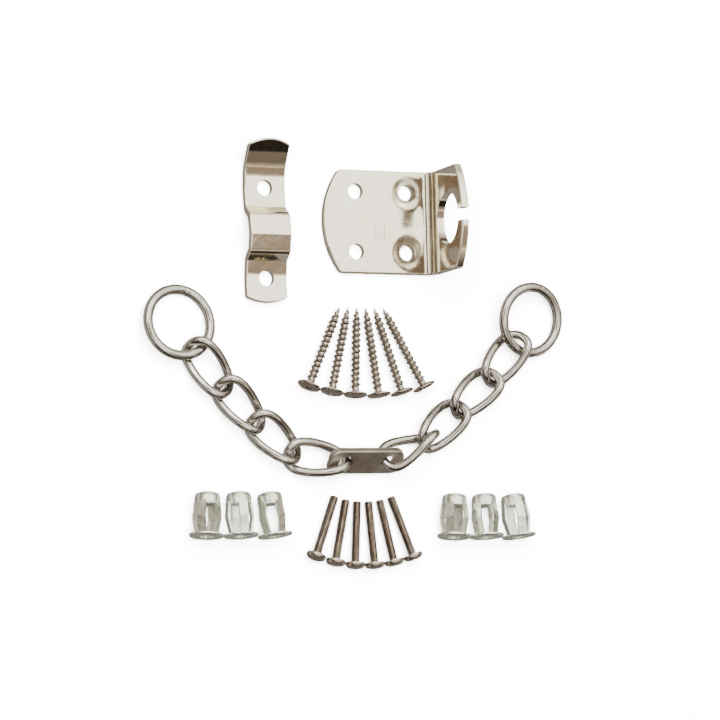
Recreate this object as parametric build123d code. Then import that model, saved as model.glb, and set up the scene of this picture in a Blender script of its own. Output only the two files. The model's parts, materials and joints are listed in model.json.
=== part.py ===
"""Door chain guard kit: bracket, keeper strap, safety chain and its fixings, laid out flat.

Everything is in millimetres.  X runs to the right of the layout, Y up the layout and Z up from
the surface that the pieces lie on.  The origin is under the middle of the whole layout.
"""
from build123d import *
from math import atan2, cos, degrees, hypot, pi, radians, sin, sqrt
import os

# ---- door bracket: a bent plate whose raised flange has a keyhole hook -----------------------
BRACKET_THICKNESS = 3.2
BRACKET_WIDTH = 42.8
BRACKET_LENGTH = 50.8          # rounded end of the plate to the outer face of the flange
FLANGE_HEIGHT = 35.5
BRACKET_BEND = 3.6             # inside radius of the bend
END_CAMBER = 7.2               # how far both free ends bow outwards
BRACKET_CORNER = 2.0
BRACKET_HOLE = 6.6
BRACKET_PITCH_X = 22.5
BRACKET_PITCH_Y = 25.0
BRACKET_HOLE_SETBACK = 14.2    # rounded end to the first pair of holes
KEYHOLE_DIAMETER = 21.6
KEYHOLE_HEIGHT = 20.4          # keyhole centre above the mounting face
SLOT_WIDTH = 5.0
STAMP_DEPTH = 0.25
STAMP_CENTRE = 24.5            # stamped motif, from the rounded end
MOTIF_LINE = 0.8
MOTIF_RING = 3.4
MOTIF_RING_Y = 2.6
MOTIF_FRAME = (6.0, 4.6)
MOTIF_FRAME_Y = -4.4
BRACKET_EDGE = 0.6

# ---- keeper strap: a wavy strap with a raised loop between two screw holes --------------------
STRAP_THICKNESS = 3.0
STRAP_WIDTH = 17.5
STRAP_HOLE = 6.5
STRAP_PITCH = 37.0
STRAP_EDGE = 0.5
STRAP_CAMBER = 2.2
# centre line of the sheet: distance along the strap, height over its lowest level, bend radius
STRAP_LINE = (
    (-30.5, 1.9, 0),
    (-25.5, 0.9, 9),
    (-18.5, 0.0, 16),
    (-10.6, 1.6, 2.4),
    (-7.6, 5.9, 2.4),
    (-0.6, 7.2, 3.0),
    (6.4, 6.0, 2.4),
    (9.6, 1.4, 2.4),
    (18.5, 0.0, 16),
    (26.5, 1.0, 14),
    (33.5, 5.6, 12),
    (40.0, 10.6, 0),
)

# ---- chain ----------------------------------------------------------------------------------
LINK_LENGTH = 28.0
LINK_WIDTH = 16.0
LINK_WIRE = 3.6
LINK_TWIST = 4.8               # curb twist: opposite quarters of the link rise and fall
LINK_BLUNTNESS = 0.05
LINK_STEPS = 6                 # pairs of arcs along half a link
RING_OUTER = 31.4
RING_WIRE = 4.0
PLATE_LENGTH = 33.5
PLATE_WIDTH = 11.8
PLATE_THICKNESS = 3.0
PLATE_PITCH = 19.5
PLATE_HOLE = 6.4
PLATE_CORNER = 4.0
PLATE_EDGE = 0.6

# ---- wood screws ----------------------------------------------------------------------------
WOOD_LENGTH = 38.0
WOOD_THREAD = 4.2
WOOD_HEAD = 9.8
WOOD_HEAD_HEIGHT = 2.3
WOOD_RIM = 0.8                 # straight rim of the head
WOOD_TIP = 7.0

# ---- machine screws, M4 ----------------------------------------------------------------------
MACHINE_LENGTH = 25.0
MACHINE_THREAD = 4.0
MACHINE_HEAD = 8.1
MACHINE_HEAD_HEIGHT = 2.6
MACHINE_RIM = 1.3
MACHINE_CHAMFER = 0.5

# ---- cross recess ----------------------------------------------------------------------------
RECESS_SPAN = 4.4
RECESS_SLOT = 1.1
RECESS_DEPTH = 1.7

# ---- jack nuts: flange, four bent legs and a threaded cap ------------------------------------
NUT_FLANGE = 14.2
NUT_FLANGE_THICKNESS = 1.0
NUT_HEIGHT = 18.0
NUT_CAP = 10.2
NUT_CAP_LENGTH = 4.8
NUT_CAP_ROUND = 1.7
NUT_BORE = 3.3
NUT_MOUTH = 5.4
LEG_WIDTH = 3.6
LEG_THICKNESS = 0.9
LEG_ROOT = 4.3                 # outside of a leg at the flange, from the axis
LEG_KNEE = 5.75
LEG_KNEE_AT = 7.0

# ---- where the pieces lie: X, Y of each piece's own reference point and its turn --------------
BRACKET_AT = (-15.9, 56.9)     # middle of the rounded end
STRAP_AT = (-41.3, 50.9)
WOOD_TIPS_Y = 22.0
WOOD_TIP_STEP = 3.72
WOOD_FAN = 10.3
WOOD_MIDDLE = 90.6
WOOD_MIDDLE_X = 0.4
MACHINE_TIPS_Y = -58.2
MACHINE_TIP_STEP = 4.9
MACHINE_FAN = 8.1
MACHINE_MIDDLE = 89.0
MACHINE_MIDDLE_X = -1.0
MACHINE_SAG = 3.0
NUT_ROWS = ((-55.9, -72.6), (51.6, -73.3))
NUT_STEP = 14.6
NUT_FAN = 5.0
NUT_ROLLS = ((45, 0, 25), (45, 30, 0))

FIXINGS = 6


def heading(angle):
    """Unit direction in the layout for an angle in degrees."""
    return cos(radians(angle)), sin(radians(angle))


def cambered_outline(width, length, camber, corner, both_ends):
    """Plan outline from x = 0 to x = length whose ends bow outwards by camber."""
    half = width / 2
    right = length - camber if both_ends else length
    lines = [
        Line((camber, half), (right, half)),
        Line((right, -half), (camber, -half)),
        ThreePointArc((camber, -half), (0, 0), (camber, half)),
    ]
    if both_ends:
        lines.append(ThreePointArc((right, half), (length, 0), (right, -half)))
    else:
        lines.append(Line((right, half), (right, -half)))
    face = make_face(Curve() + lines)
    ends = face.vertices() if both_ends else face.vertices().sort_by(Axis.X)[:2]
    return fillet(ends, corner)


def sheet_strip(centre_line, thickness, width):
    """A bent sheet: a planar centre line in X (along) and Y (height), thickened and extruded.

    The strip comes back with its length on X, its width on Y and its height on Z.
    """
    section = make_face(centre_line.offset_2d(thickness / 2))
    strip = extrude(section, amount=width / 2, both=True)
    return Rot(X=90) * strip


def door_bracket():
    """Reference point: middle of the rounded end, on the mounting face."""
    mid = BRACKET_THICKNESS / 2
    flange_x = BRACKET_LENGTH - mid
    beyond = 10
    line = FilletPolyline(
        (-beyond, mid), (flange_x, mid), (flange_x, FLANGE_HEIGHT + beyond),
        radius=BRACKET_BEND + mid,
    )
    blank = sheet_strip(Wire(line.edges()), BRACKET_THICKNESS, BRACKET_WIDTH)
    plan = cambered_outline(BRACKET_WIDTH, BRACKET_LENGTH, END_CAMBER, BRACKET_CORNER, False)
    side = cambered_outline(BRACKET_WIDTH, FLANGE_HEIGHT + beyond, END_CAMBER, BRACKET_CORNER, False)
    upright = Pos(0, 0, FLANGE_HEIGHT) * Rot(Y=90) * side
    body = blank & extrude(plan, amount=FLANGE_HEIGHT)
    body = body & extrude(upright, amount=BRACKET_LENGTH, dir=(1, 0, 0))
    body = fillet(body.edges(), BRACKET_EDGE)

    for column in (0, BRACKET_PITCH_X):
        for row in (-BRACKET_PITCH_Y / 2, BRACKET_PITCH_Y / 2):
            hole = Cylinder(BRACKET_HOLE / 2, BRACKET_THICKNESS * 4)
            body -= Pos(BRACKET_HOLE_SETBACK + column, row, 0) * hole

    reach = BRACKET_THICKNESS * 2
    keyhole = Rot(Y=90) * Cylinder(KEYHOLE_DIAMETER / 2, reach)
    slot = Box(reach, SLOT_WIDTH, FLANGE_HEIGHT, align=(Align.CENTER, Align.CENTER, Align.MIN))
    body -= Pos(flange_x, 0, KEYHOLE_HEIGHT) * (keyhole + slot)
    return body - stamped_motif()


def stamped_motif():
    """A plain ring and a frame below it, pressed into the top of the plate."""
    ring = Pos(0, MOTIF_RING_Y) * (Circle(MOTIF_RING) - Circle(MOTIF_RING - MOTIF_LINE))
    tall, wide = MOTIF_FRAME
    frame = Rectangle(wide, tall) - Rectangle(wide - 2 * MOTIF_LINE, tall - 2 * MOTIF_LINE)
    cutter = extrude(ring + Pos(0, MOTIF_FRAME_Y) * frame, amount=STAMP_DEPTH * 2)
    return Pos(STAMP_CENTRE, 0, BRACKET_THICKNESS - STAMP_DEPTH) * cutter


def keeper_strap():
    """Reference point: midway between the two screw holes, on the mounting plane."""
    level = STRAP_THICKNESS / 2
    points = [(along, rise + level) for along, rise, _ in STRAP_LINE]
    radii = [radius for _, _, radius in STRAP_LINE]
    line = FilletPolyline(*points, radius=radii[1:-1])
    blank = sheet_strip(Wire(line.edges()), STRAP_THICKNESS, STRAP_WIDTH)
    low_end, high_end = STRAP_LINE[0][0] + 2, STRAP_LINE[-1][0] - 2.2
    plan = cambered_outline(STRAP_WIDTH, high_end - low_end, STRAP_CAMBER, 1.0, True)
    body = blank & extrude(Pos(low_end, 0) * plan, amount=30)
    body = fillet(body.edges(), STRAP_EDGE)
    for along in (-STRAP_PITCH / 2, STRAP_PITCH / 2):
        body -= Pos(along, 0, 0) * Cylinder(STRAP_HOLE / 2, STRAP_THICKNESS * 4)
    resting = Pos(0, 0, -body.bounding_box().min.Z) * body
    return Rot(Z=90) * resting


def link_point(turn):
    """Point on the centre line of a curb link, and the direction of the wire there."""
    half_length = (LINK_LENGTH - LINK_WIRE) / 2
    half_width = (LINK_WIDTH - LINK_WIRE) / 2
    along = (1 + LINK_BLUNTNESS) * cos(turn) - LINK_BLUNTNESS * cos(3 * turn)
    across = sin(turn)
    along_rate = 3 * LINK_BLUNTNESS * sin(3 * turn) - (1 + LINK_BLUNTNESS) * sin(turn)
    across_rate = cos(turn)
    twist_rate = -LINK_TWIST * (along_rate * across + along * across_rate)
    point = Vector(half_length * along, half_width * across, -LINK_TWIST * along * across)
    return point, Vector(half_length * along_rate, half_width * across_rate, twist_rate).normalized()


def arc_pair(start, leaving, end, arriving):
    """Two arcs that meet smoothly and join two points in the given directions."""
    span = end - start
    both = leaving + arriving
    bend = 2 * (1 - leaving.dot(arriving))
    lean = span.dot(both)
    reach = (sqrt(lean * lean + bend * span.dot(span)) - lean) / bend
    middle = (start + end + (leaving - arriving) * reach) * 0.5
    chord = (middle - start).normalized()
    passing = chord * (2 * leaving.dot(chord)) - leaving
    return [
        Edge.make_tangent_arc(start, leaving, middle),
        Edge.make_tangent_arc(middle, passing, end),
    ]


def curb_link():
    """One twisted oval link, centred on the origin with its length on X.

    Half of it is a wire swept from the middle of one end to the middle of the other, and the
    other half is its copy turned by 180 degrees.
    """
    arcs = []
    for step in range(LINK_STEPS):
        first = link_point(pi * step / LINK_STEPS)
        second = link_point(pi * (step + 1) / LINK_STEPS)
        arcs += arc_pair(*first, *second)
    path = Wire(arcs)
    start = Plane(origin=path @ 0, z_dir=path % 0)
    half = sweep(start * Circle(LINK_WIRE / 2), path=path)
    return half + Rot(Z=180) * half


def end_ring():
    """A plain round ring in the XY plane."""
    return Torus((RING_OUTER - RING_WIRE) / 2, RING_WIRE / 2)


def plate_link():
    """Flat two-hole link centred on the origin, with its length on X."""
    plan = RectangleRounded(PLATE_LENGTH, PLATE_WIDTH, PLATE_CORNER)
    body = extrude(plan, amount=PLATE_THICKNESS / 2, both=True)
    body = fillet(body.edges().filter_by(Axis.Z, reverse=True), PLATE_EDGE)
    for side in (-PLATE_PITCH / 2, PLATE_PITCH / 2):
        body -= Pos(side, 0, 0) * Cylinder(PLATE_HOLE / 2, PLATE_THICKNESS * 2)
    return body


def turned(*profile):
    """Solid of revolution about X from points of (distance along X, radius)."""
    face = make_face(Polyline(*profile, close=True))
    return revolve(face, axis=Axis.X)


def cross_recess():
    """Cross-shaped tool recess, cut into the outer face of a head at x = 0."""
    wing = Box(RECESS_DEPTH * 2, RECESS_SPAN, RECESS_SLOT)
    return wing + Rot(X=90) * wing


def wood_screw():
    """Head face at x = 0, shank along +X to a sharp tip."""
    head, shank = WOOD_HEAD / 2, WOOD_THREAD / 2
    crown = 0.9
    body = turned(
        (0, 0), (0, head * 0.45), (crown * 0.45, head * 0.85), (crown, head),
        (crown + WOOD_RIM, head), (WOOD_HEAD_HEIGHT, shank),
        (WOOD_LENGTH - WOOD_TIP, shank), (WOOD_LENGTH - WOOD_TIP * 0.4, shank * 0.55),
        (WOOD_LENGTH, 0),
    )
    return body - cross_recess()


def machine_screw():
    """Head face at x = 0, shank along +X to a chamfered end."""
    head, shank = MACHINE_HEAD / 2, MACHINE_THREAD / 2
    crown = MACHINE_HEAD_HEIGHT - MACHINE_RIM
    end = MACHINE_HEAD_HEIGHT + MACHINE_LENGTH
    body = turned(
        (0, 0), (0, head * 0.4), (crown * 0.35, head * 0.8), (crown, head),
        (MACHINE_HEAD_HEIGHT, head), (MACHINE_HEAD_HEIGHT, shank),
        (end - MACHINE_CHAMFER, shank), (end, shank - MACHINE_CHAMFER), (end, 0),
    )
    return body - cross_recess()


def jack_nut():
    """Outer face of the flange at x = 0, legs and cap along +X."""
    flange = NUT_FLANGE / 2
    cap = NUT_CAP / 2
    mouth = NUT_MOUTH / 2
    cap_start = NUT_HEIGHT - NUT_CAP_LENGTH
    disc = turned(
        (0, mouth), (0, flange - 0.4), (0.4, flange), (NUT_FLANGE_THICKNESS, flange),
        (NUT_FLANGE_THICKNESS, mouth),
    )
    cup = turned(
        (cap_start, NUT_BORE / 2), (cap_start, cap), (NUT_HEIGHT - NUT_CAP_ROUND, cap),
        (NUT_HEIGHT - NUT_CAP_ROUND * 0.3, cap - NUT_CAP_ROUND * 0.3),
        (NUT_HEIGHT, cap - NUT_CAP_ROUND), (NUT_HEIGHT, NUT_BORE / 2),
    )
    outside = [
        (NUT_FLANGE_THICKNESS / 2, LEG_ROOT),
        (NUT_FLANGE_THICKNESS + LEG_KNEE_AT, LEG_KNEE),
        (cap_start + 1.0, cap - 0.1),
    ]
    inside = [(along, radius - LEG_THICKNESS) for along, radius in reversed(outside)]
    leg = extrude(make_face(Polyline(*outside, *inside, close=True)), amount=LEG_WIDTH / 2, both=True)
    body = disc + cup
    for quarter in range(4):
        body += Rot(X=90 * quarter) * leg
    return body


def lay_down(piece, x, y, direction, rim, far_end, roll=0):
    """Rest a turned piece on its rim and its far end.

    rim and far_end are (distance along the axis, radius) of the two circles that touch the
    surface; x and y place the piece's own origin, and direction is where its axis points.
    """
    fall = rim[1] - far_end[1]
    run = far_end[0] - rim[0]
    tilt = degrees(atan2(fall, run))
    height = (rim[0] * fall + rim[1] * run) / hypot(fall, run)
    return Pos(x, y, height) * Rot(Z=direction) * Rot(Y=tilt) * Rot(X=roll) * piece


def lay_chain(piece, x, y, z, direction, roll=0, lift=0):
    """Place a chain piece: roll about its own length, lift of its far end, then its direction."""
    return Pos(x, y, z) * Rot(Z=direction) * Rot(Y=-lift) * Rot(X=roll) * piece


# centre X, Y, Z, direction, roll and lift of each chain piece, as the chain settles when laid out
CHAIN_PLACES = {
    "ring_left": (-79.5, 13.5, 4.5, 0, -8.3, -6.3),
    "link_1": (-67.5, -4.6, 5.2, -55, 10, -0.5),
    "link_2": (-54.1, -19.4, 4.8, -48, -0.5, -1.6),
    "link_3": (-39.8, -32.6, 5.0, -40, -2.3, -2.2),
    "link_4": (-22.1, -40.7, 5.4, -7, -9.7, 9.8),
    "plate_link": (-1.3, -41.8, 6.5, 1, 43.4, -6.3),
    "link_5": (18.2, -36.2, 7.1, 27, -60, 10.2),
    "link_6": (34.0, -27.0, 4.8, 41, -0.8, -1.8),
    "link_7": (49.1, -13.3, 4.9, 38, 0, -1.2),
    "link_8": (62.9, 1.2, 4.8, 49, -6.4, 1.5),
    "ring_right": (75.0, 17.4, 5.2, 0, 7.8, -10.9),
}


def laid_out_kit():
    """Every piece by name, where it lies in the layout."""
    kit = {
        "door_bracket": Pos(*BRACKET_AT) * door_bracket(),
        "keeper_strap": Pos(*STRAP_AT) * keeper_strap(),
    }

    link, ring = curb_link(), end_ring()
    for name, place in CHAIN_PLACES.items():
        if name.startswith("ring"):
            piece = ring
        elif name.startswith("plate"):
            piece = plate_link()
        else:
            piece = link
        kit[name] = lay_chain(piece, *place)

    wood, machine = wood_screw(), machine_screw()
    wood_rim = (WOOD_HEAD_HEIGHT / 2, WOOD_HEAD / 2)
    wood_far = (WOOD_LENGTH - WOOD_TIP, WOOD_THREAD / 2)
    machine_rim = (MACHINE_HEAD_HEIGHT - MACHINE_RIM, MACHINE_HEAD / 2)
    machine_length = MACHINE_LENGTH + MACHINE_HEAD_HEIGHT
    machine_far = (machine_length - MACHINE_CHAMFER, MACHINE_THREAD / 2)
    for index in range(FIXINGS):
        from_middle = index - (FIXINGS - 1) / 2

        direction = WOOD_MIDDLE + WOOD_FAN * from_middle
        along, up = heading(direction)
        tip_x = WOOD_MIDDLE_X + WOOD_TIP_STEP * from_middle
        head_at = (tip_x - WOOD_LENGTH * along, WOOD_TIPS_Y - WOOD_LENGTH * up)
        kit[f"wood_screw_{index + 1}"] = lay_down(
            wood, *head_at, direction, wood_rim, wood_far
        )

        direction = MACHINE_MIDDLE + MACHINE_FAN * from_middle
        along, up = heading(direction)
        tip_x = MACHINE_MIDDLE_X + MACHINE_TIP_STEP * from_middle
        tip_y = MACHINE_TIPS_Y + MACHINE_SAG * (from_middle / (FIXINGS / 2)) ** 2
        head_at = (tip_x - machine_length * along, tip_y - machine_length * up)
        kit[f"machine_screw_{index + 1}"] = lay_down(
            machine, *head_at, direction, machine_rim, machine_far
        )

    nut = jack_nut()
    nut_rim = (0.4, NUT_FLANGE / 2)
    nut_far = (NUT_HEIGHT - NUT_CAP_ROUND, NUT_CAP / 2)
    number = 0
    for (row_x, row_y), rolls in zip(NUT_ROWS, NUT_ROLLS):
        for place, roll in enumerate(rolls):
            number += 1
            kit[f"jack_nut_{number}"] = lay_down(
                nut, row_x + NUT_STEP * (place - 1), row_y, 90 + NUT_FAN * (place - 1),
                nut_rim, nut_far, roll,
            )
    return kit


def centred(kit):
    """Move the whole layout so that the origin is under the middle of its bounding box."""
    boxes = [piece.bounding_box() for piece in kit.values()]
    low_x, high_x = min(box.min.X for box in boxes), max(box.max.X for box in boxes)
    low_y, high_y = min(box.min.Y for box in boxes), max(box.max.Y for box in boxes)
    shift = Pos(-(low_x + high_x) / 2, -(low_y + high_y) / 2, -min(box.min.Z for box in boxes))
    return {name: shift * piece for name, piece in kit.items()}, shift


def write_parts(kit):
    os.makedirs("parts", exist_ok=True)
    for name, piece in kit.items():
        export_step(piece, f"parts/{name}.step")


if __name__ == "__main__":
    write_parts(centred(laid_out_kit())[0])
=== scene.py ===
"""Door chain guard kit laid out on a pale floor: looks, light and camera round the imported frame."""
import json
from math import cos, floor, pi, radians, sin, tan

import bmesh
import bpy
import numpy as np
from mathutils import Matrix, Vector


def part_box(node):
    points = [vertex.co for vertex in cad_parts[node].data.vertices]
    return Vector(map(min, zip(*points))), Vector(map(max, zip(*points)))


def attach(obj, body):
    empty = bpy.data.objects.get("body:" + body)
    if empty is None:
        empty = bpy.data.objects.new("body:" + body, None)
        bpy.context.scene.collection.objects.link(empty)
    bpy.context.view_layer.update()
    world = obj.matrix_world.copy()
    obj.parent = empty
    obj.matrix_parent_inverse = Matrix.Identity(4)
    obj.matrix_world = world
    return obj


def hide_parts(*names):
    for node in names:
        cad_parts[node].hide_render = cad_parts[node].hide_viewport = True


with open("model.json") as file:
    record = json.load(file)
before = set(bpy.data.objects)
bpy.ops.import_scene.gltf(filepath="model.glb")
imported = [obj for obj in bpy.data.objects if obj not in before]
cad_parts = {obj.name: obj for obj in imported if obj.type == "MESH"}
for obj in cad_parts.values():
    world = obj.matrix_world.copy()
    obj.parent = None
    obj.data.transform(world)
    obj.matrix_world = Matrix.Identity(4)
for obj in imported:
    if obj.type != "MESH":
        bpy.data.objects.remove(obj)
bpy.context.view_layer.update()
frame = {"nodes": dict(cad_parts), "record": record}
MM = 0.001

# ---- the view: from the left and a little below, with a long lens ----------------------------
VIEW_LEFT = 22.0
VIEW_BELOW = 6.0
VIEW_ROLL = -1.3
VIEW_DISTANCE = 1.4
VIEW_LENS = 170.8
VIEW_AIM = Vector((2.33, -1.42, 0)) * MM
VIEW_SENSOR = 36
VIEW_FARTHEST = 20

# ---- floor and lamp, in metres ---------------------------------------------------------------
FLOOR_HALF = 3.0
LAMP_PLACE = (-0.3, 0.3, 2.0)
LAMP_SIZE = 2.4
LAMP_POWER = 900

# ---- screws, in millimetres ------------------------------------------------------------------
WOOD = {
    "length": 38.0, "head": 9.8, "head_height": 2.3, "crown": 0.9, "rim": 0.8,
    "crest": 2.1, "root": 1.38, "pitch": 2.3, "tip": 7.0, "ridge": 0.33, "per_turn": 16,
}
MACHINE = {
    "length": 27.6, "head": 8.1, "head_height": 2.6, "crown": 1.3, "rim": 1.3,
    "crest": 2.0, "root": 1.4, "pitch": 0.7, "tip": 0.5, "ridge": 0.42, "per_turn": 8,
}
SCREWS_OF_A_KIND = 6
SCREW_TURN = 37.0          # each screw is turned about its axis by this much more than the last
HEAD_FLAT = 0.30           # share of the head's radius that is flat, and that the dome adds
HEAD_DOME = 0.66
DOME_STEPS = 8
RECESS_SPAN = 4.4
RECESS_SLOT = 0.95
RECESS_DEPTH = 1.7
RECESS_SHRINK = (0.35, 0.55)   # span and slot at the recess's bottom, as shares of its mouth
POINT_RADIUS = 0.02        # least radius of a wood screw, at its point
POINT_TAPER = 0.8          # power by which its shank runs out along the tip
TIP_THREAD = 0.25          # share of the thread's depth that is there at the point
TIP_RUN_OUT = 2.5          # the thread runs out over the last 1 / 2.5 of the tip
ROUND_STEPS = 32
SHARP_ANGLE = radians(38)

# ---- chain, in millimetres -------------------------------------------------------------------
LINK_HALF_LENGTH = 12.2
LINK_HALF_WIDTH = 6.2
LINK_TWIST = 4.8
LINK_BLUNTNESS = 0.05
LINK_WIRE = 1.8            # radius, like the ring's
RING_RADIUS = 13.7
RING_WIRE = 2.0
JOINT_GROOVE = 0.12        # depth of the groove where the ring's ends meet
JOINT_SHARE = 0.002        # half its width, as a share of the ring
JOINT_SIDE = Vector((0.25, 1.0, 0.0))

# ---- dimples round the two bracket holes beside the flange, in millimetres --------------------
DIMPLE_ALONG = 36.7        # from the bracket's rounded end
DIMPLE_ACROSS = 12.5       # either side of its middle
PLATE_THICKNESS = 3.2
DIMPLE_INNER = 2.6
DIMPLE_OUTER = 8.6
DIMPLE_DEPTH = 0.32


# ---- materials -------------------------------------------------------------------------------
class Nodes:
    """A short way to add and link shader nodes."""

    def __init__(self, name):
        self.material = bpy.data.materials.new(name)
        self.material.use_nodes = True
        self.tree = self.material.node_tree
        self.shader = self.tree.nodes["Principled BSDF"]

    def add(self, kind, **values):
        """Add a node and set its inputs by name."""
        node = self.tree.nodes.new(kind)
        for key, value in values.items():
            node.inputs[key].default_value = value
        return node

    def link(self, output, socket):
        self.tree.links.new(output, socket)

    def noise(self, scale, detail=3.0, roughness=0.5, stretch=(1, 1, 1)):
        place = self.add("ShaderNodeTexCoord")
        mapping = self.add("ShaderNodeMapping")
        mapping.inputs["Scale"].default_value = stretch
        texture = self.add("ShaderNodeTexNoise", Scale=scale, Detail=detail, Roughness=roughness)
        self.link(place.outputs["Object"], mapping.inputs["Vector"])
        self.link(mapping.outputs["Vector"], texture.inputs["Vector"])
        return texture.outputs["Fac"]

    def ramp(self, factor, stops):
        node = self.add("ShaderNodeValToRGB")
        elements = node.color_ramp.elements
        while len(elements) < len(stops):
            elements.new(0.5)
        for element, (position, colour) in zip(elements, stops):
            element.position = position
            element.color = (*colour, 1.0)
        self.link(factor, node.inputs["Fac"])
        return node.outputs["Color"]

    def bumps(self, *layers):
        """Stack bump layers of (height output, distance in metres, strength) onto the shader."""
        normal = None
        for height, distance, strength in layers:
            bump = self.add("ShaderNodeBump", Strength=strength, Distance=distance)
            self.link(height, bump.inputs["Height"])
            if normal is not None:
                self.link(normal, bump.inputs["Normal"])
            normal = bump.outputs["Normal"]
        self.link(normal, self.shader.inputs["Normal"])


def plated_metal(name, light, dark, smooth, rough, wave, grain, wave_scale=55, grain_scale=1400):
    """Plated metal: mottled tint, uneven gloss, slow waves in the plating and a fine grain."""
    nodes = Nodes(name)
    nodes.shader.inputs["Metallic"].default_value = 1.0
    tint = nodes.noise(160, detail=6, roughness=0.65)
    nodes.link(nodes.ramp(tint, ((0.3, dark), (0.7, light))), nodes.shader.inputs["Base Color"])
    haze = nodes.noise(420, detail=8, roughness=0.7)
    gloss = nodes.ramp(haze, ((0.35, (smooth,) * 3), (0.75, (rough,) * 3)))
    nodes.link(gloss, nodes.shader.inputs["Roughness"])
    waves = nodes.noise(wave_scale, detail=1.5, roughness=0.4)
    fine = nodes.noise(grain_scale, detail=4, roughness=0.6)
    nodes.bumps((waves, 0.0004, wave), (fine, 0.00003, grain))
    return nodes.material


def dimple(material, centre, inner, outer, depth):
    """Shade the surface as sunk round a hole, by a bump between two radii in millimetres."""
    tree = material.node_tree
    shader = tree.nodes["Principled BSDF"]
    place = tree.nodes.new("ShaderNodeTexCoord")
    distance = tree.nodes.new("ShaderNodeVectorMath")
    distance.operation = "DISTANCE"
    distance.inputs[1].default_value = centre
    slope = tree.nodes.new("ShaderNodeMapRange")
    slope.interpolation_type = "SMOOTHERSTEP"
    slope.inputs["From Min"].default_value = inner * MM
    slope.inputs["From Max"].default_value = outer * MM
    bump = tree.nodes.new("ShaderNodeBump")
    bump.inputs["Strength"].default_value = 1.0
    bump.inputs["Distance"].default_value = depth * MM
    tree.links.new(place.outputs["Object"], distance.inputs[0])
    tree.links.new(distance.outputs["Value"], slope.inputs["Value"])
    tree.links.new(slope.outputs["Result"], bump.inputs["Height"])
    earlier = shader.inputs["Normal"].links[0].from_socket
    tree.links.new(earlier, bump.inputs["Normal"])
    tree.links.new(bump.outputs["Normal"], shader.inputs["Normal"])


def bracket_metal(materials):
    """The plate's metal with dimples round the two holes beside the flange."""
    metal = materials["bright_plate"].copy()
    metal.name = "bracket_nickel"
    low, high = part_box("door_bracket")
    for row in (-DIMPLE_ACROSS, DIMPLE_ACROSS):
        centre = (
            low.x + DIMPLE_ALONG * MM,
            (low.y + high.y) / 2 + row * MM,
            low.z + PLATE_THICKNESS * MM,
        )
        dimple(metal, centre, DIMPLE_INNER, DIMPLE_OUTER, DIMPLE_DEPTH)
    return metal


def make_materials():
    return {
        "bright_plate": plated_metal(
            "bright_nickel_plate", (0.93, 0.88, 0.72), (0.84, 0.78, 0.62), 0.06, 0.16, 0.3, 0.35,
        ),
        "bright_wire": plated_metal(
            "bright_nickel_wire", (0.58, 0.555, 0.515), (0.40, 0.38, 0.345), 0.05, 0.14, 0.5, 0.3,
            wave_scale=130,
        ),
        "sanded_plate": plated_metal(
            "sanded_nickel", (0.56, 0.50, 0.45), (0.36, 0.32, 0.28), 0.3, 0.5, 0.3, 1.0,
            grain_scale=2600,
        ),
        "nickel_screw": plated_metal(
            "brown_nickel", (0.47, 0.415, 0.36), (0.36, 0.31, 0.265), 0.12, 0.3, 0.4, 0.7,
            wave_scale=260,
        ),
        "zinc_nut": plated_metal(
            "pale_zinc", (0.90, 0.93, 0.85), (0.76, 0.79, 0.70), 0.2, 0.4, 0.6, 0.9,
            wave_scale=240,
        ),
    }


# ---- mesh helpers ----------------------------------------------------------------------------
def mesh_object(name, vertices, faces, material):
    mesh = bpy.data.meshes.new(name)
    mesh.from_pydata([tuple(v) for v in vertices], [], faces)
    mesh.validate()
    work = bmesh.new()
    work.from_mesh(mesh)
    bmesh.ops.recalc_face_normals(work, faces=work.faces)
    work.to_mesh(mesh)
    work.free()
    for polygon in mesh.polygons:
        polygon.use_smooth = True
    mesh.set_sharp_from_angle(angle=SHARP_ANGLE)
    mesh.materials.append(material)
    piece = bpy.data.objects.new(name, mesh)
    bpy.context.scene.collection.objects.link(piece)
    return piece


def lathe(rows, steps=ROUND_STEPS):
    """Vertices and faces of rings about X.  A row is (x, radius at an angle as a function)."""
    vertices, faces = [], []
    for along, radius_at in rows:
        for step in range(steps):
            turn = 2 * pi * step / steps
            radius = radius_at(turn)
            vertices.append((along * MM, radius * cos(turn) * MM, radius * sin(turn) * MM))
    for row in range(len(rows) - 1):
        for step in range(steps):
            after = (step + 1) % steps
            low, high = row * steps, (row + 1) * steps
            faces.append((low + step, low + after, high + after, high + step))
    faces.append(tuple(range(steps))[::-1])
    last = (len(rows) - 1) * steps
    faces.append(tuple(range(last, last + steps)))
    return vertices, faces


def thread_height(screw, along, turn):
    """Height of the helical ridge, from 0 to 1, which grows over the first turn."""
    beyond_head = (along - screw["head_height"]) / screw["pitch"]
    phase = beyond_head - turn / (2 * pi)
    phase -= floor(phase)
    ridge = max(0.0, 1 - abs(phase - 0.5) / screw["ridge"])
    return ridge * min(1.0, max(0.0, beyond_head))


def wood_radius(screw, along, turn):
    """Radius of a wood screw, whose shank and thread both run out to the point."""
    taper = min(1.0, (screw["length"] - along) / screw["tip"])
    depth = (screw["crest"] - screw["root"]) * thread_height(screw, along, turn)
    depth *= min(1.0, TIP_THREAD + taper) * min(1.0, taper * TIP_RUN_OUT)
    return max(POINT_RADIUS, screw["root"] * taper ** POINT_TAPER + depth)


def machine_radius(screw, along, turn):
    """Radius of a machine screw, whose thread keeps its size to the chamfer at the end."""
    chamfer = max(0.0, along - (screw["length"] - screw["tip"]))
    depth = (screw["crest"] - screw["root"]) * thread_height(screw, along, turn)
    return min(screw["root"] + depth, screw["crest"] - chamfer)


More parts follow.
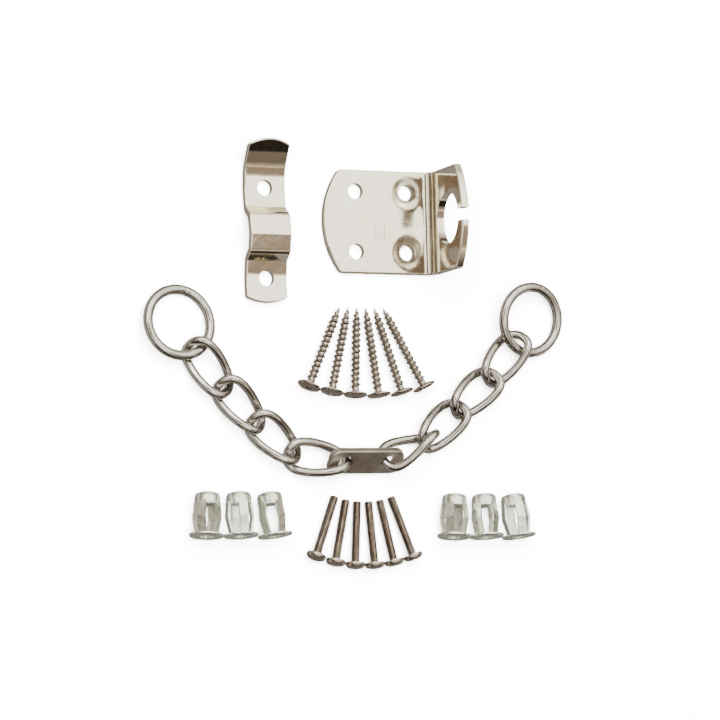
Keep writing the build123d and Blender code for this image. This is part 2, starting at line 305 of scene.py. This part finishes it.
def head_rows(screw):
    """Domed head: outer face, crown, rim and underside."""
    half, crown = screw["head"] / 2, screw["crown"]
    rows = []
    for step in range(DOME_STEPS + 1):
        slope = step / DOME_STEPS * pi / 2
        rows.append((crown * (1 - cos(slope)), half * (HEAD_FLAT + HEAD_DOME * sin(slope))))
    rows.append((crown + 0.12, half * 0.99))
    rows.append((crown + 0.25, half))
    rows.append((crown + screw["rim"] * 0.75, half))
    rows.append((crown + screw["rim"] * 0.95, half * 0.97))
    rows.append((screw["head_height"] - 0.05, screw["crest"] * 1.15))
    rows.append((screw["head_height"], screw["root"] * 1.1))
    return rows


def screw_mesh(name, screw, radius_at, material):
    """One whole screw along +X with its head's outer face at x = 0."""
    rows = [(x, (lambda turn, r=r: r)) for x, r in head_rows(screw)]
    start = screw["head_height"]
    count = int((screw["length"] - start) / screw["pitch"] * screw["per_turn"])
    for step in range(1, count + 1):
        along = start + (screw["length"] - start) * step / count
        rows.append((along, (lambda turn, x=along: radius_at(screw, x, turn))))
    vertices, faces = lathe(rows)
    piece = mesh_object(name, vertices, faces, material)
    cut_recess(piece)
    return piece


def cut_recess(piece):
    """A cross recess whose wings slope to a point, cut by a boolean."""
    vertices, faces = [], []
    for wing in range(2):
        base = len(vertices)
        for depth, (reach, half) in ((-0.5, (1.0, 1.0)), (RECESS_DEPTH, RECESS_SHRINK)):
            for across, up in ((-1, -1), (1, -1), (1, 1), (-1, 1)):
                y = across * RECESS_SPAN / 2 * reach
                z = up * RECESS_SLOT / 2 * half
                if wing:
                    y, z = -z, y
                vertices.append((depth * MM, y * MM, z * MM))
        faces += [tuple(base + i for i in f) for f in (
            (0, 1, 2, 3), (7, 6, 5, 4), (0, 4, 5, 1), (1, 5, 6, 2), (2, 6, 7, 3), (3, 7, 4, 0),
        )]
    cutter = mesh_object("recess_cutter", vertices, faces, piece.data.materials[0])
    cut = piece.modifiers.new("recess", "BOOLEAN")
    cut.object = cutter
    cut.operation = "DIFFERENCE"
    cut.solver = "EXACT"
    cut.use_self = True
    apply_modifiers(piece)
    bpy.data.objects.remove(cutter)
    piece.data.set_sharp_from_angle(angle=SHARP_ANGLE)


def apply_modifiers(piece):
    """Replace a piece's mesh by what its modifiers make of it."""
    graph = bpy.context.evaluated_depsgraph_get()
    graph.update()
    mesh = bpy.data.meshes.new_from_object(piece.evaluated_get(graph))
    piece.modifiers.clear()
    piece.data = mesh


def principal_frame(node):
    """Vertices of a CAD node, its surface's centre and its principal axes, longest first.

    Triangles are weighted by area, so that an uneven mesh doesn't tilt the axes.
    """
    mesh = frame["nodes"][node].data
    mesh.calc_loop_triangles()
    points = np.array([v.co[:] for v in mesh.vertices])
    corners = points[np.array([t.vertices[:] for t in mesh.loop_triangles])]
    area = np.array([t.area for t in mesh.loop_triangles])[:, None]
    middles = corners.mean(1)
    centre = (middles * area).sum(0) / area.sum()
    offset = (corners - centre).reshape(-1, 3)
    weight = np.repeat(area, 3, axis=0)
    _, axes = np.linalg.eigh((offset * weight).T @ offset)
    return points, centre, axes[:, ::-1].T


def matrix_from(along, across, origin):
    """Matrix whose X is along, whose Y is near across and whose origin is given."""
    along = Vector(along).normalized()
    up = along.cross(Vector(across)).normalized()
    matrix = Matrix((along, up.cross(along), up)).transposed().to_4x4()
    matrix.translation = Vector(origin)
    return matrix


def axis_frame(node):
    """Matrix that takes a screw modelled along +X, head at x = 0, onto its CAD node."""
    points, centre, axes = principal_frame(node)
    along = axes[0]
    reach = (points - centre) @ along
    radius = np.linalg.norm(points - centre - np.outer(reach, along), axis=1)
    if reach[radius.argmax()] > (reach.max() + reach.min()) / 2:
        along, reach = -along, -reach
    return matrix_from(along, (0.0, 0.0, 1.0), centre + along * reach.min())


def tube(name, path, radius_at, material, sides=20):
    """A closed round wire through the points of a path, with its radius at a share of it."""
    count = len(path)
    vertices, faces = [], []
    for index, point in enumerate(path):
        heading = (path[(index + 1) % count] - path[index - 1]).normalized()
        across = heading.cross(Vector((0, 0, 1))).normalized()
        up = across.cross(heading)
        radius = radius_at(index / count)
        for side in range(sides):
            turn = 2 * pi * side / sides
            vertices.append((point + (across * cos(turn) + up * sin(turn)) * radius) * MM)
    for index in range(count):
        after = (index + 1) % count
        for side in range(sides):
            beside = (side + 1) % sides
            faces.append((
                index * sides + side, after * sides + side,
                after * sides + beside, index * sides + beside,
            ))
    return mesh_object(name, vertices, faces, material)


def link_path(steps=112):
    """Centre line of a twisted curb link."""
    points = []
    for step in range(steps):
        turn = 2 * pi * step / steps
        along = (1 + LINK_BLUNTNESS) * cos(turn) - LINK_BLUNTNESS * cos(3 * turn)
        across = sin(turn)
        points.append(Vector((
            LINK_HALF_LENGTH * along, LINK_HALF_WIDTH * across, -LINK_TWIST * along * across,
        )))
    return points


def ring_path(steps=144):
    """Centre line of an end ring, which starts where its ends meet."""
    turns = [2 * pi * step / steps for step in range(steps)]
    return [Vector((RING_RADIUS * cos(turn), RING_RADIUS * sin(turn), 0)) for turn in turns]


def link_radius(part):
    return LINK_WIRE


def ring_radius(part):
    """Radius of the ring's wire, which has a shallow groove where its ends meet."""
    joined = min(part, 1 - part) < JOINT_SHARE
    return RING_WIRE - (JOINT_GROOVE if joined else 0.0)


def ring_frame(centre, axes):
    """Matrix of a ring, turned about its axle so that its joint is on the chosen side."""
    axle = Vector(axes[2])
    start = JOINT_SIDE - axle * axle.dot(JOINT_SIDE)
    return matrix_from(start, axle.cross(start), centre)


def placed_copy(pattern, name, matrix):
    """A copy of a pattern whose place is in its vertices, like a CAD node's."""
    mesh = pattern.data.copy()
    mesh.transform(matrix)
    piece = bpy.data.objects.new(name, mesh)
    bpy.context.scene.collection.objects.link(piece)
    return piece


def stand_for(piece, node):
    """The piece is shown in place of a CAD node and moves with the body of the same name."""
    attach(piece, node)
    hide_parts(node)


def make_chain(materials):
    link = tube("link_pattern", link_path(), link_radius, materials["bright_wire"])
    ring = tube("ring_pattern", ring_path(), ring_radius, materials["bright_wire"])
    for node in frame["nodes"]:
        if not node.startswith(("link_", "ring_")):
            continue
        _, centre, axes = principal_frame(node)
        if node.startswith("ring_"):
            piece = placed_copy(ring, f"{node}_wire", ring_frame(centre, axes))
        else:
            piece = placed_copy(link, f"{node}_wire", matrix_from(axes[0], axes[1], centre))
        stand_for(piece, node)
    bpy.data.objects.remove(link)
    bpy.data.objects.remove(ring)


def make_screws(materials):
    kinds = (("wood_screw", WOOD, wood_radius), ("machine_screw", MACHINE, machine_radius))
    for kind, screw, radius_at in kinds:
        pattern = screw_mesh(f"{kind}_pattern", screw, radius_at, materials["nickel_screw"])
        for number in range(1, SCREWS_OF_A_KIND + 1):
            node = f"{kind}_{number}"
            turn = Matrix.Rotation(radians(SCREW_TURN * number), 4, "X")
            piece = placed_copy(pattern, f"{node}_threaded", axis_frame(node) @ turn)
            stand_for(piece, node)
        bpy.data.objects.remove(pattern)


def dress_cad_nodes(materials):
    """Give every CAD node the material of its record slot, and the bracket its dimples."""
    slots = {entry["node"]: entry["material_slot"] for entry in frame["record"]["subparts"]}
    for node, piece in frame["nodes"].items():
        material = materials[slots[node]]
        if node == "door_bracket":
            material = bracket_metal(materials)
        if piece.material_slots:
            for holder in piece.material_slots:
                holder.link = "OBJECT"
                holder.material = material
        else:
            piece.data.materials.append(material)


# ---- light and floor -------------------------------------------------------------------------
def view_axes():
    """Right, up and backward directions of the camera."""
    back = Vector((-tan(radians(VIEW_LEFT)), -tan(radians(VIEW_BELOW)), 1)).normalized()
    right = Vector((0, 1, 0)).cross(back).normalized()
    up = back.cross(right)
    roll = radians(VIEW_ROLL)
    return right * cos(roll) + up * sin(roll), up * cos(roll) - right * sin(roll), back


def make_camera():
    data = bpy.data.cameras.new("camera")
    data.lens = VIEW_LENS
    data.sensor_width = VIEW_SENSOR
    data.clip_end = VIEW_FARTHEST
    camera = bpy.data.objects.new("camera", data)
    right, up, back = view_axes()
    matrix = Matrix((right, up, back)).transposed().to_4x4()
    matrix.translation = VIEW_AIM + back * VIEW_DISTANCE
    camera.matrix_world = matrix
    bpy.context.scene.collection.objects.link(camera)
    bpy.context.scene.camera = camera


def make_floor():
    half = FLOOR_HALF
    corners = [(-half, -half, 0), (half, -half, 0), (half, half, 0), (-half, half, 0)]
    nodes = Nodes("pale_floor")
    speck = nodes.noise(30, detail=3)
    colour = nodes.ramp(speck, ((0.3, (0.93, 0.93, 0.93)), (0.7, (0.95, 0.95, 0.95))))
    nodes.link(colour, nodes.shader.inputs["Base Color"])
    nodes.shader.inputs["Roughness"].default_value = 0.9
    nodes.shader.inputs["Specular IOR Level"].default_value = 0.1
    ground = mesh_object("floor", corners, [(0, 1, 2, 3)], nodes.material)
    ground.visible_glossy = False


def glow(name, colour, strength):
    material = bpy.data.materials.new(name)
    material.use_nodes = True
    tree = material.node_tree
    tree.nodes.clear()
    light = tree.nodes.new("ShaderNodeEmission")
    light.inputs["Color"].default_value = (*colour, 1)
    light.inputs["Strength"].default_value = strength
    out = tree.nodes.new("ShaderNodeOutputMaterial")
    tree.links.new(light.outputs["Emission"], out.inputs["Surface"])
    return material


def make_card(name, azimuth, elevation, width, height, colour, strength=1.0):
    """A studio card seen only in reflections.  Azimuth 0 is +X, 90 is +Y."""
    a, e = radians(azimuth), radians(elevation)
    outward = Vector((cos(a) * cos(e), sin(a) * cos(e), sin(e)))
    corners = [(-width, -height, 0), (width, -height, 0), (width, height, 0), (-width, height, 0)]
    half = [(x / 2, y / 2, z) for x, y, z in corners]
    card = mesh_object(name, half, [(0, 1, 2, 3)], glow(name, colour, strength))
    facing = outward.to_track_quat("Z", "Y").to_matrix().to_4x4()
    card.matrix_world = Matrix.Translation(outward * CARD_DISTANCE) @ facing
    card.visible_camera = False
    card.visible_diffuse = False
    card.visible_shadow = False
    card.visible_transmission = False


# surroundings that the metal mirrors, from below the horizon to overhead: (height, colour)
SURROUNDINGS = (
    (-1.0, (0.11, 0.10, 0.09)),
    (-0.45, (0.13, 0.12, 0.11)),
    (-0.30, (0.46, 0.45, 0.42)),
    (-0.12, (0.40, 0.39, 0.36)),
    (-0.02, (0.015, 0.012, 0.010)),
    (0.20, (0.045, 0.036, 0.029)),
    (0.44, (0.22, 0.178, 0.140)),
    (0.50, (0.55, 0.50, 0.43)),
    (0.56, (0.24, 0.21, 0.175)),
    (0.74, (0.72, 0.68, 0.60)),
    (0.88, (1.0, 0.985, 0.92)),
)
SURROUNDINGS_LEAN = 0.35
SURROUNDINGS_STRENGTH = 2.9

# studio cards: (name, azimuth, elevation, width, height, colour, strength where it isn't 1)
CARDS = (
    ("brown_camera_side", 168, 68, 0.95, 0.9, (0.21, 0.14, 0.11)),
    ("black_low_front", 270, 14, 4.6, 1.2, (0.02, 0.016, 0.014)),
    ("tan_high_front", 318, 59, 1.0, 0.9, (0.40, 0.30, 0.225)),
    ("bright_far_strip", 115, 56, 1.7, 0.28, (1.0, 1.0, 0.97), 11),
    ("dark_left_band", 200, 34, 1.5, 0.35, (0.06, 0.05, 0.045)),
)
CARD_DISTANCE = 2.2


def make_surroundings():
    """A world that is dark at the horizon and bright overhead, leaning towards the far side."""
    world = bpy.data.worlds.new("studio")
    world.use_nodes = True
    tree = world.node_tree
    backdrop = tree.nodes["Background"]
    direction = tree.nodes.new("ShaderNodeTexCoord")
    split = tree.nodes.new("ShaderNodeSeparateXYZ")
    height = tree.nodes.new("ShaderNodeMath")
    height.operation = "MULTIPLY_ADD"
    height.inputs[1].default_value = SURROUNDINGS_LEAN
    unit = tree.nodes.new("ShaderNodeMapRange")
    unit.inputs["From Min"].default_value = -1.0
    unit.inputs["From Max"].default_value = 1.0
    ramp = tree.nodes.new("ShaderNodeValToRGB")
    elements = ramp.color_ramp.elements
    while len(elements) < len(SURROUNDINGS):
        elements.new(0.5)
    for element, (level, colour) in zip(elements, SURROUNDINGS):
        element.position = (level + 1) / 2
        element.color = (*colour, 1)
    tree.links.new(direction.outputs["Generated"], split.inputs["Vector"])
    tree.links.new(split.outputs["Y"], height.inputs[0])
    tree.links.new(split.outputs["Z"], height.inputs[2])
    tree.links.new(height.outputs["Value"], unit.inputs["Value"])
    tree.links.new(unit.outputs["Result"], ramp.inputs["Fac"])
    tree.links.new(ramp.outputs["Color"], backdrop.inputs["Color"])
    backdrop.inputs["Strength"].default_value = SURROUNDINGS_STRENGTH
    bpy.context.scene.world = world


def make_light():
    make_surroundings()
    lamp = bpy.data.lights.new("overhead", "AREA")
    lamp.shape = "DISK"
    lamp.size = LAMP_SIZE
    lamp.energy = LAMP_POWER
    holder = bpy.data.objects.new("overhead", lamp)
    holder.location = LAMP_PLACE
    holder.rotation_euler = (-holder.location).to_track_quat("-Z", "Y").to_euler()
    holder.visible_glossy = False
    bpy.context.scene.collection.objects.link(holder)

    for card in CARDS:
        make_card(*card)


materials = make_materials()
dress_cad_nodes(materials)
make_screws(materials)
make_chain(materials)
make_floor()
make_light()
make_camera()

bpy.context.view_layer.update()
